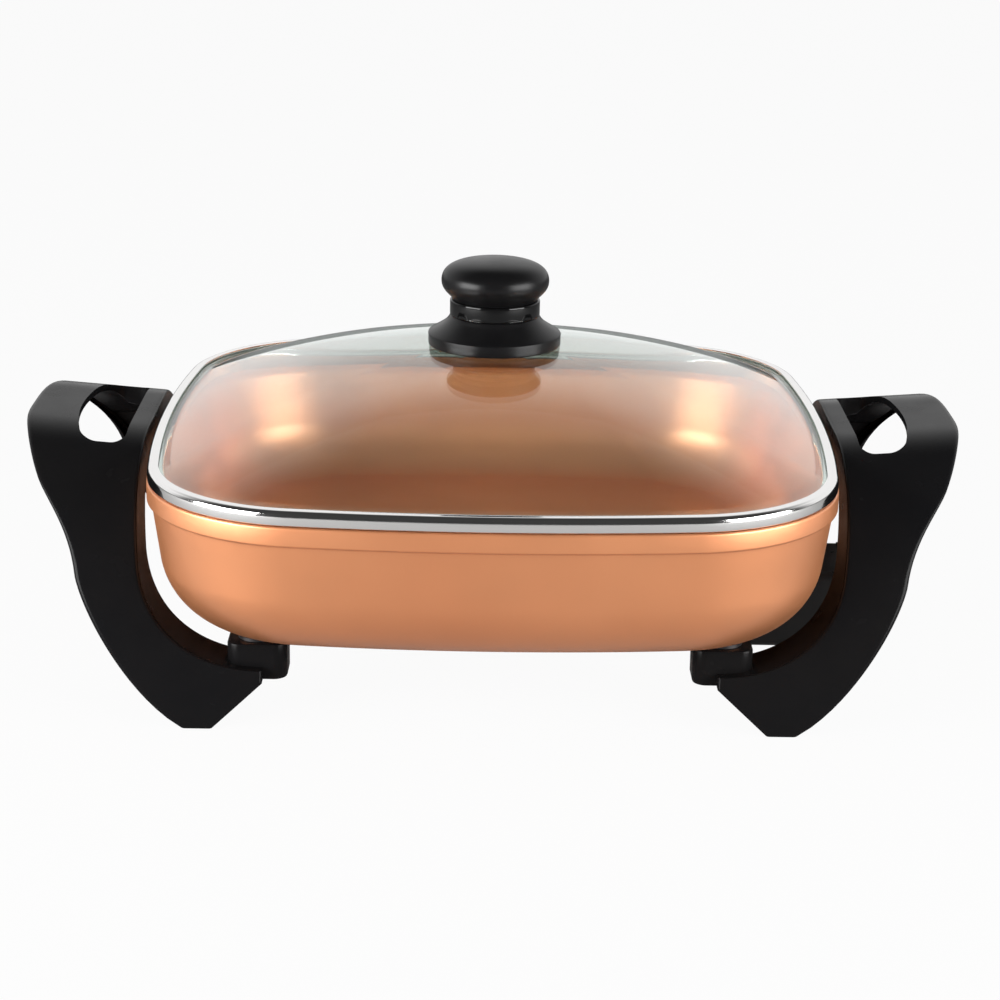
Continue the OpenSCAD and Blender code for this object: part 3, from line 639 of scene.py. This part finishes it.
# %% Heights of the knob
measured_power, collar_h, ring_h = 2.3, 6.5, 7.6
bore_r, neck_r, ring_r, cap_r, skirt_r = 2.45, 19.2, 21, 25.1, 31
top_z = glass_edge_z + glass_t + rise
seat_t = 28.0 / (foot * round_r)
skirt_z = top_z - rise * seat_t**measured_power + 0.3
seat_z = top_z - rise * seat_t**power + 0.3
collar_z = skirt_z + 13.2
cap_z = collar_z + collar_h
edge_z = cap_z + ring_h - collar_h
wide_z, crown_z = cap_z + 9.9, cap_z + 19.9
print("knob: collar at", round(collar_z, 2), "cap at", round(cap_z, 2), "crown at", round(crown_z, 2))

# %% Skirt, collar and cap
foot_ring = rounded(
    [[bore_r, top_z + 0.8], [8.5, top_z + 0.8], [8.5, skirt_z + 4], [26, skirt_z + 2.5],
     [28, seat_z], [skirt_r, seat_z], [skirt_r, skirt_z + 4.5]],
    [0, 0, 0.5, 0.8, 0.4, 0.7, 0], 3,
)
brow = [[30.95, skirt_z + 4.85]]
flare = bezier(
    [[30.6, skirt_z + 5.2], [27.0, skirt_z + 7.4], [22.6, collar_z - 3.6], [21.3, collar_z - 0.7]], 14,
)
neck = [[20.8, collar_z - 0.02], [neck_r, collar_z - 0.02], [neck_r, cap_z], [bore_r, cap_z]]
skirt = revolve(np.vstack([foot_ring, brow, flare, neck]))
piece(make_mesh("knob_skirt", *skirt, 40.0), "lid", "knob_black", knob_skin, "knob_base")

ring_line = [[19.3, 0], [ring_r, 0], [ring_r, ring_h], [19.3, ring_h]]
ring = revolve(rounded(ring_line, [0, 0.8, 0.8, 0], 5) + [0, collar_z])
piece(make_mesh("knob_ring", *ring, 40.0), "lid", "collar_black", polished, "knob_collar")

hollow = [[0.01, cap_z + 11], [4.03, cap_z + 11], [4.03, cap_z], [19.1, cap_z],
          [neck_r, edge_z], [19.9, edge_z + 0.2]]
under = bezier([[20.2, edge_z + 0.9], [21.9, edge_z + 2.9], [cap_r, wide_z - 4.0], [cap_r, wide_z]], 14)
over = bezier([[cap_r, wide_z], [cap_r, wide_z + 6.9], [18.1, crown_z], [0.01, crown_z]], 26)[1:]
cap = revolve(np.vstack([hollow, under, over]))
piece(make_mesh("knob_top", *cap, 40.0), "lid", "knob_black", knob_skin, "knob_cap")

# %% [markdown]
# ## The handles
#
# Each handle is a moulded arch, three millimetres thick and open on its hollow side. Seen from
# the front it has one outline, from splayed foot over a waist to the grip; seen from the side
# it is an arch between an outer and an inner curve. Two cut-out outlines crossed with a
# Boolean would give the outside, but with sharp edges and no even wall. A cross-section of
# the real one is a U: the wall towards the pan, the skin over the top, and the wall on the
# outside. So the surface is one grid, with a row for every station along the arch and a
# column for every point of the U. Blender's Solidify then gives it its wall.

# %% Outlines of the handle
low_out = bezier([[135.7, 0], [158.0, 12], [179.6, 47.1], [183.7, 62.1]], 40)
high_out = bezier([[183.7, 62.1], [190.2, 105.1], [250, 118], [197, 117]], 60)
front_out = np.vstack([low_out, high_out[1:]])
front_out = front_out[: front_out[:, 1].argmax() + 1]
sweep_in = bezier([[155.5, 66], [151, 38], [127, 24.5], [100, 24.5]], 36)[::-1]
high_in = bezier([[155.5, 66], [157, 78], [158.8, 95], [158.8, 117]], 20)
front_in = np.vstack([[[121.4, 0], [100, 19]], sweep_in, high_in[1:]])
grip_z, lip_h = 115.0, 9.5
arch_out = bezier([[119, 0], [106, 54], [85, grip_z], [25, grip_z]], 200)
arch_in = bezier([[95, 0], [80, 52], [57, grip_z - lip_h], [10, grip_z - lip_h]], 200)
print("front outlines:", len(front_out), "and", len(front_in), "points")

# %% Walls and stations
grip_r, grip_c, soften = 186.0, 31.0, 4.0


def outer_x(y, h):
    """X of the outer wall: the front outline, held inside the bow of the grip by a soft minimum.

    The minimum of a and b is half of a + b - sqrt((a - b) ** 2 + soften)."""
    a = np.interp(h, front_out[:, 1], front_out[:, 0])
    b = grip_c + np.sqrt(grip_r**2 - y**2)
    return 0.5 * (a + b - np.sqrt((a - b) ** 2 + soften))


def inner_x(h):
    """X of the wall towards the pan at height h."""
    return np.interp(h, front_in[:, 1], front_in[:, 0])


def stations(split=88.0):
    """Pairs of (Y, h) points on the outer and inner arch, from the front foot to the rear one.

    Below split both arches are met at the same heights, and above it at even steps along each."""
    foot_h, leg_h = np.linspace(0, 19, 6), np.linspace(66, split, 8)
    h = np.unique(np.concatenate([foot_h, [20, 22, 24.2], sweep_in[:, 1], leg_h]))
    out = []
    for arch in (arch_out, arch_in):
        leg = np.column_stack([np.interp(h, arch[:, 1], arch[:, 0]), h])
        high = arch[arch[:, 1] > split]
        high = high[np.linspace(0, len(high) - 1, 18).astype(int)]
        flat = np.column_stack([np.linspace(high[-1, 0], 0, 6)[1:], np.full(5, high[-1, 1])])
        front = np.vstack([leg, np.vstack([high, flat])]) * [-1, 1]
        out.append(np.vstack([front, (front * [-1, 1])[-2::-1]]))
    return out


print("stations along the arch:", len(stations()[0]))

# %% The moulded shell
wall_cols, skin_cols, bend_cols = 9, 16, 7
bend_in, bend_out = 1.6, 2.6
grip_lip, lip_from, lip_to = 4.6, 98.0, 46.0
fall, fall_x, fall_z, fall_over = 0.075, 200.0, 80.0, 30.0


def top_fall(x, h):
    """How far the top sinks towards the pan: fall * (x - 200), eased in from height 80 to 110."""
    ease = np.clip((h - fall_z) / fall_over, 0, 1)
    return fall * (x - fall_x) * ease**2 * (3 - 2 * ease)


def handle_shell():
    """The U carried along the stations. Depth q runs from the outer arch towards the inner one.

    The outer wall is 4.6 mm deep along the grip, where the fingers reach under it. Down the legs
    it deepens along a smooth step, from height 98 to 46, until it is as deep as the arch. The two
    bends of the U are quarter circles, and the skin between them is straight."""
    top, low = stations()
    reach = np.linalg.norm(low - top, axis=1)[:, None]
    deepen = np.clip((lip_from - top[:, 1:]) / (lip_from - lip_to), 0, 1)
    lip = grip_lip + (reach - grip_lip) * deepen**2 * (3 - 2 * deepen)
    step = (low - top) / reach

    def at(q):
        return top[:, None, :] + q[..., None] * step[:, None, :]

    s = np.linspace(1, 0, wall_cols)[None, :]
    q_in, q_out = bend_in + (reach - bend_in) * s, bend_out + (lip - bend_out) * s[:, ::-1]
    x_in, x_out = inner_x(at(q_in)[..., 1]), outer_x(*np.moveaxis(at(q_out), -1, 0))
    xb, xc = x_in[:, -1:], x_out[:, :1]
    a = np.radians(np.linspace(0, 90, bend_cols + 2))[None, 1:-1]
    w = np.linspace(0, 1, skin_cols)[None, :]
    x = np.concatenate([
        x_in, xb + bend_in * (1 - np.cos(a)), (xb + bend_in) * (1 - w) + (xc - bend_out) * w,
        xc - bend_out * (1 - np.sin(a)), x_out,
    ], 1)
    q = np.concatenate([
        q_in, bend_in * (1 - np.sin(a)) + 0 * xb, 0 * w + 0 * xb,
        bend_out * (1 - np.cos(a)) + 0 * xc, q_out,
    ], 1)
    yz = at(q)
    yz[..., 1] += top_fall(x, yz[..., 1])
    return np.concatenate([x[..., None], yz], -1)


def foot_plate(row):
    """Fills the end of the U at a foot: straight lines from the pan-side wall to the outer wall."""
    a, b = row[:wall_cols], row[-wall_cols:][::-1]
    w = np.linspace(0, 1, 7)[:, None, None]
    grid = a[None] * (1 - w) + b[None] * w
    return grid, [quads(*grid.shape[:2])]


shell = handle_shell()
print("handle shell:", shell.shape[:2])

# %% [markdown]
# The finger opening goes right through the top of the grip. Its outer side bows with the grip,
# so its outline is a rounded rectangle that is drawn back towards both ends. A prism of that
# outline cuts the skin, and a rolled collar with the same outline lines the cut.

# %% Outline of the finger opening
finger_x, finger_w, finger_len, finger_r, finger_bow = 180.4, 26.0, 97.0, 9.0, 1 / 340


def ring_of(w, length, r, n=10, side=9):
    """A rectangle with round corners as one closed line, about its own middle."""
    a = np.radians(np.linspace(0, 90, n))
    corner = np.column_stack([w / 2 - r + r * np.cos(a), length / 2 - r + r * np.sin(a)])
    along_side = np.linspace(r - length / 2, length / 2 - r, side + 2)[1:-1]
    edge = np.column_stack([np.full(side, w / 2), along_side])
    back, front = (corner * [-1, 1])[::-1], (corner * [1, -1])[::-1]
    return np.vstack([corner, back, -edge, -corner, front, edge])


def opening(grow=0.0):
    """Outline of the finger opening, and each point's share of the way to its outer side.

    Each point is drawn back by its share of finger_bow * y**2."""
    line = ring_of(finger_w + 2 * grow, finger_len + 2 * grow, finger_r + grow)
    share = np.clip(line[:, 0] / finger_w + 0.5, 0, 1)
    line[:, 0] += finger_x - share * finger_bow * line[:, 1] ** 2
    return line, share


print("finger opening:", np.ptp(opening()[0], axis=0).round(1), "mm")

# %% Bake modifiers and weld points
def baked(mesh, *modifiers):
    """The mesh after some modifiers, each given as (kind, settings)."""
    thing = put("work", mesh)
    for kind, settings in modifiers:
        m = thing.modifiers.new(kind.lower(), kind)
        for k, v in settings.items():
            setattr(m, k, v)
    bpy.context.view_layer.update()
    shown = thing.evaluated_get(bpy.context.evaluated_depsgraph_get())
    out = bpy.data.meshes.new_from_object(shown)
    bpy.data.objects.remove(thing)
    return out


def welded(mesh, distance=1e-5):
    """Merges points that coincide and turns all faces outwards."""
    work = bmesh.new()
    work.from_mesh(mesh)
    bmesh.ops.remove_doubles(work, verts=work.verts, dist=distance)
    bmesh.ops.recalc_face_normals(work, faces=work.faces)
    work.to_mesh(mesh)
    work.free()
    return mesh


def on_floor(mesh):
    """Lifts every point that a wall's corner pushed below the floor back to height 0."""
    spots = np.empty(len(mesh.vertices) * 3, np.float32)
    mesh.vertices.foreach_get("co", spots)
    spots[2::3] = np.maximum(spots[2::3], 0.0)
    mesh.vertices.foreach_set("co", spots)


print("helpers for baking, welding and the floor are ready")

# %% Give the shell its wall and cut the opening
skin = joined((shell, [quads(*shell.shape[:2])]), foot_plate(shell[0]), foot_plate(shell[-1]))
skin_mesh = welded(make_mesh("skin", *skin))
grip_up = [p.normal.z for p in skin_mesh.polygons if p.center.z > 0.1145 and abs(p.center.y) < 0.01]
if np.mean(grip_up) < 0:
    skin_mesh.flip_normals()
through_grip = stacked([opening()[0]] * 2, [70.0, 130.0])
cutter = put("cutter", welded(make_mesh("cutter", *capped(through_grip, through_grip.mean(1)))))
moulding = baked(
    skin_mesh,
    ("SOLIDIFY", {"thickness": 0.003, "offset": -1.0, "use_even_offset": True, "thickness_clamp": 1.0}),
    ("BOOLEAN", {"object": cutter, "operation": "DIFFERENCE", "solver": "EXACT"}),
)
bpy.data.objects.remove(cutter)
on_floor(moulding)
print("moulding:", len(moulding.polygons), "faces")

# %% [markdown]
# Inside each arch two posts reach in under the pan, and a screw goes up through each into one
# of its lugs. A post could be a block with a hole cut in it, but a stack of rings gives post
# and hole at once: up the outside, over the top, and down the stepped hole.

# %% Posts
post_w, post_d, post_r, post_low, post_top = 26.5, 24.0, 6.0, 18.5, 35.0
shank_r, head_r, ledge_z = 2.3, 4.8, 27.3


def post(x, y):
    """A post with a screw hole: outside up, inside down, from a rounded rectangle to a circle."""
    sides = [ring_of(post_w - 2 * e, post_d - 2 * e, post_r - e) for e in (1.0, 0.3, 0.0)]
    angle = np.arctan2(sides[2][:, 1], sides[2][:, 0])
    circle = np.column_stack([np.cos(angle), np.sin(angle)])
    shank, head = circle * shank_r, circle * head_r
    lines = [*sides, *sides[::-1], shank, shank, head, head]
    heights = [post_low, post_low + 0.3, post_low + 1, post_top - 1, post_top - 0.3, post_top]
    heights += [post_top, ledge_z, ledge_z, post_low]
    return wrapped(stacked([line + [x, y] for line in lines], heights))


print("post:", len(post(0, 0)[1][0]), "faces")

# %% Collar round the opening
collar_steps = [(0.03, 0.0), (0.03, 0.84), (0.5, 0.96), (1.5, 1.0), (2.5, 0.96), (3.0, 0.84), (3.0, 0.0)]


def skin_top(x, y):
    """Height of the top of the grip at x, y: the outer arch, falling towards the pan."""
    h = np.interp(np.abs(y), arch_out[::-1, 0], arch_out[::-1, 1])
    return h + top_fall(x, h)


def collar():
    """A rolled edge under the opening: rings that grow by a step and hang by a share of a depth.

    The depth is 7 mm on the pan side and runs out to 0.4 mm towards the outer side."""
    lines, heights = [], []
    for grow, drop in collar_steps:
        line, share = opening(grow)
        depth = 0.4 + 6.6 * np.clip((0.95 - share) / 0.35, 0, 1)
        lines.append(line)
        heights.append(skin_top(*line.T) - 2.4 - drop * depth)
    return wrapped(stacked(lines, heights))


inner_shape = joined(post(lug_x, lug_y), post(lug_x, -lug_y), collar())
inner_parts = welded(make_mesh("inner_parts", *inner_shape))
print("posts and collar:", len(inner_parts.polygons), "faces")

# %% Both handles
def merged(name, meshes, flip):
    """Several meshes as one, mirrored to the other side if flip is set."""
    work = bmesh.new()
    for m in meshes:
        work.from_mesh(m)
    if flip:
        bmesh.ops.transform(work, matrix=Matrix.Diagonal((-1, 1, 1, 1)), verts=work.verts)
        bmesh.ops.reverse_faces(work, faces=work.faces)
    out = bpy.data.meshes.new(name)
    work.to_mesh(out)
    work.free()
    out.polygons.foreach_set("use_smooth", np.ones(len(out.polygons), bool))
    out.set_sharp_from_angle(angle=np.radians(35))
    return out


for side, flip in (("right", False), ("left", True)):
    mesh = merged(side + "_arch", [moulding, inner_parts], flip)
    piece(mesh, "base", "handle_black", phenolic, side + "_handle")

# %% [markdown]
# ## Finishes of the measured pieces
#
# The small hardware is right as it was measured, and most of it is hidden in use. Drawing it
# again would change nothing that can be seen, so it only gets its metal, rubber or ceramic.

# %% Dress the measured pieces
dress = {
    sheath: ["heating_element"],
    nickel: ["front_terminal_pin", "rear_terminal_pin"],
    ceramic: ["front_insulator", "rear_insulator"],
    plain_steel: ["probe_sleeve", "knob_washer"],
    blued: ["left_heat_spacers", "right_heat_spacers"],
    guard_skin: ["terminal_guard"],
    zinc: ["guard_screws", "left_handle_screws", "right_handle_screws", "knob_screw"],
    silicone: ["lid_gasket"],
    black_silicone: ["glass_bush"],
    brass: ["knob_insert"],
}
for material, names in dress.items():
    for n in names:
        nodes[n].data.materials.clear()
        nodes[n].data.materials.append(material)
print("dressed", sum(len(v) for v in dress.values()), "measured pieces")

# %% [markdown]
# ## Stage and light
#
# A white floor and three large soft lamps: one overhead and one at each side of the camera. The
# surround that mirrors and glass see is bright behind the pan and dark above and in front of it,
# so the black pieces stay black and keep one clear highlight on their edges. A picture of a
# room could light the scene too, but with lamps and a surround of a few numbers it is plain
# which of them makes which highlight.

# %% Floor
floor_half, floor_gap, floor_tone, floor_glow = 6.0, 0.0002, 0.42, 0.95
corners = np.array([[-1, -1, 0], [1, -1, 0], [1, 1, 0], [-1, 1, 0]], float)
floor_mesh = bpy.data.meshes.new("floor")
floor_mesh.from_pydata((corners * floor_half - [0, 0, floor_gap]).tolist(), [], [[0, 1, 2, 3]])
floor = put("floor", floor_mesh)

white, tree, unused = new_material("white_floor")
tree.nodes.remove(unused)
matt = add(tree, "ShaderNodeBsdfDiffuse", {"Color": (floor_tone, floor_tone, floor_tone, 1)})
glow = add(tree, "ShaderNodeEmission", {"Color": (1, 1, 1, 1), "Strength": 1.0})
seen = either_ray(add(tree, "ShaderNodeLightPath"), "Is Camera", "Is Transmission")
share = calc(tree, "MULTIPLY", seen, floor_glow)
both = add(tree, "ShaderNodeMixShader", {0: share, 1: matt.outputs[0], 2: glow.outputs[0]})
tree.links.new(both.outputs[0], tree.nodes["Material Output"].inputs["Surface"])
floor.data.materials.append(white)
print("floor:", floor_half * 2, "m wide")

# %% Surround
room_dark, room_fill = 0.05, 0.14
world = bpy.data.worlds.new("surround")
bpy.context.scene.world = world
world.use_nodes = True
tree = world.node_tree


def ramp(value, start, end):
    """0 at start and 1 at end, with a smooth step between."""
    span = {0: value, 1: start, 2: end}
    return add(tree, "ShaderNodeMapRange", span, interpolation_type="SMOOTHSTEP").outputs[0]


path = add(tree, "ShaderNodeLightPath")
generated = add(tree, "ShaderNodeTexCoord").outputs["Generated"]
toward = add(tree, "ShaderNodeSeparateXYZ", {0: generated}).outputs
behind, low = ramp(toward[1], -0.05, 0.4), ramp(toward[2], 0.85, 0.5)
backdrop = calc(tree, "MULTIPLY", behind, low)
room = add(tree, "ShaderNodeMapRange", {0: backdrop, 3: room_dark, 4: 1.0}).outputs[0]
mirrored = either_ray(path, "Is Glossy", "Is Transmission")
level = add(tree, "ShaderNodeMix", {0: mirrored, 2: room_fill, 3: room}).outputs[0]
level = add(tree, "ShaderNodeMix", {0: path.outputs["Is Camera Ray"], 2: level, 3: 1.0}).outputs[0]
ground = tree.nodes["Background"]
ground.inputs["Color"].default_value = (1, 1, 1, 1)
tree.links.new(level, ground.inputs["Strength"])
print("surround:", len(tree.nodes), "nodes")

# %% Lamps
def soft_lamp(name, spot, aim, size, watts):
    """A rectangular lamp at a spot, turned towards a point. Sizes in metres."""
    data = bpy.data.lights.new(name, "AREA")
    data.shape, data.size, data.size_y, data.energy = "RECTANGLE", size[0], size[1], watts
    thing = put(name, data)
    thing.location = spot
    thing.rotation_mode = "QUATERNION"
    thing.rotation_quaternion = (Vector(aim) - Vector(spot)).to_track_quat("-Z", "Y")
    return thing


overhead = soft_lamp("overhead", (0.0, 0.3, 1.8), (0, 0, 0.05), (3.0, 2.4), 6)
overhead.visible_glossy = False
for name, x, watts in (("left_box", -0.95, 25), ("right_box", 0.95, 21)):
    soft_lamp(name, (x, -0.6, 0.3), (0, 0, 0.08), (0.85, 0.55), watts)
bpy.context.scene.view_settings.view_transform = "Standard"
print("lamps:", len(bpy.data.lights))
